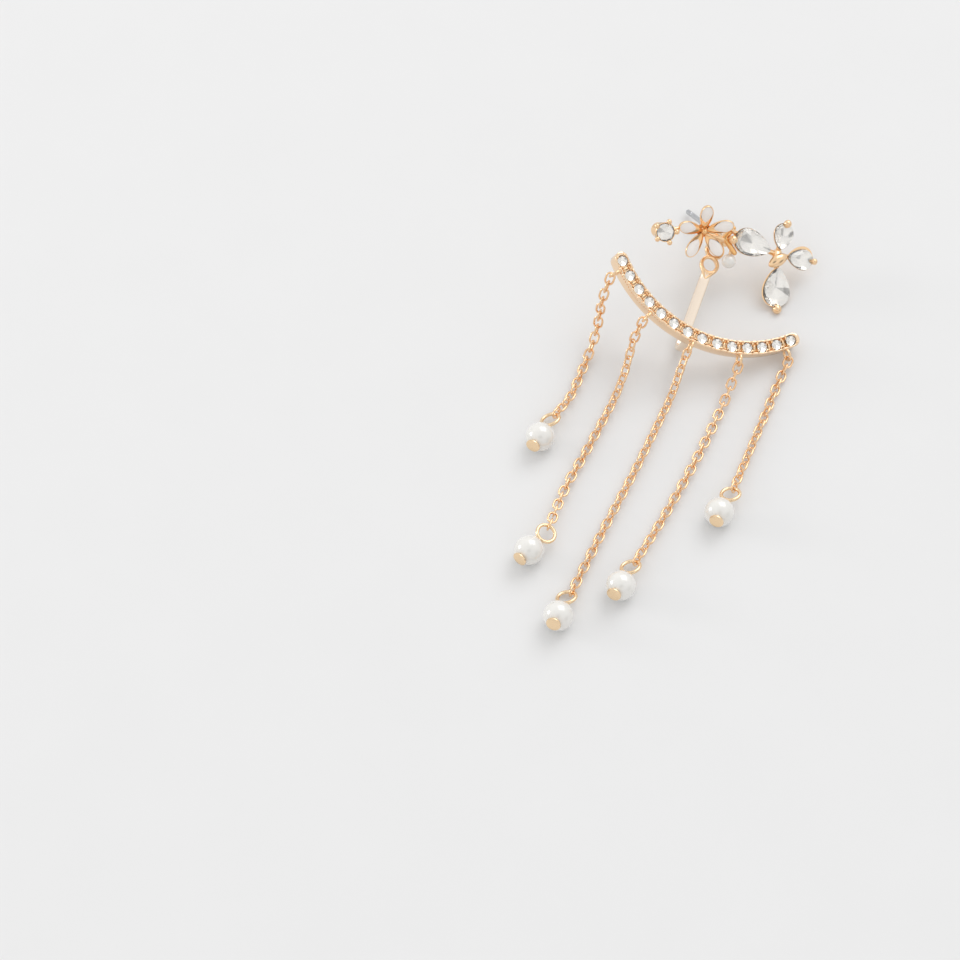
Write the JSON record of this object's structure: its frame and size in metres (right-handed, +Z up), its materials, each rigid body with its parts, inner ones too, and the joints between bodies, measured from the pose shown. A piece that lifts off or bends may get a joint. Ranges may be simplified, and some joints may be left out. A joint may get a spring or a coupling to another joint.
{
  "type": "ear jacket earring",
  "caption": "Ear jacket earring lying flat: a flower and stone climber on a post, and a curved stone bar on a holed stem with hanging chains that end in pearls.",
  "frame": {"origin": "on the surface that the earring lies on, under the middle of its box", "axes": "+Y from the pearl drops towards the post's tip, +X towards the climber's cluster of stones, +Z up, away from the surface"},
  "size_m": [0.0435, 0.0703, 0.0135],
  "materials": {
    "rose_gold": "polished pale rose-gold plating",
    "chain_gold": "polished rose-gold plating",
    "pin_gold": "polished rose-gold plating, flat heads satin",
    "post_steel": "plain drawn steel",
    "clear_stone": "clear, faceted, polished",
    "pearl": "cream pearl lustre",
    "petal_enamel": "glossy off-white enamel"
  },
  "bodies": {
    "jacket": {"jacket_frame": "rose_gold", "bar_stone_01": "clear_stone", "bar_stone_02": "clear_stone", "bar_stone_03": "clear_stone", "bar_stone_04": "clear_stone", "bar_stone_05": "clear_stone", "bar_stone_06": "clear_stone", "bar_stone_07": "clear_stone", "bar_stone_08": "clear_stone", "bar_stone_09": "clear_stone", "bar_stone_10": "clear_stone", "bar_stone_11": "clear_stone", "bar_stone_12": "clear_stone", "bar_stone_13": "clear_stone", "bar_stone_14": "clear_stone", "chain_1": "chain_gold", "chain_2": "chain_gold", "chain_3": "chain_gold", "chain_4": "chain_gold", "chain_5": "chain_gold", "pearl_1": "pearl", "pearl_2": "pearl", "pearl_3": "pearl", "pearl_4": "pearl", "pearl_5": "pearl", "head_pin_1": "pin_gold", "head_pin_2": "pin_gold", "head_pin_3": "pin_gold", "head_pin_4": "pin_gold", "head_pin_5": "pin_gold"},
    "climber": {"climber_casting": "rose_gold", "ear_post": "post_steel", "pear_stone_1": "clear_stone", "pear_stone_2": "clear_stone", "pear_stone_3": "clear_stone", "pear_stone_4": "clear_stone", "round_stone": "clear_stone", "seed_pearl": "pearl", "enamel_petal_1": "petal_enamel", "enamel_petal_2": "petal_enamel", "enamel_petal_3": "petal_enamel", "enamel_petal_4": "petal_enamel", "enamel_petal_5": "petal_enamel"}
  },
  "joints": [
    {"name": "climber_lift", "type": "slide", "parent": "jacket", "child": "climber", "axis": [0.3904, -0.7968, 0.4612], "range_m": [0, 0.012]}
  ]
}
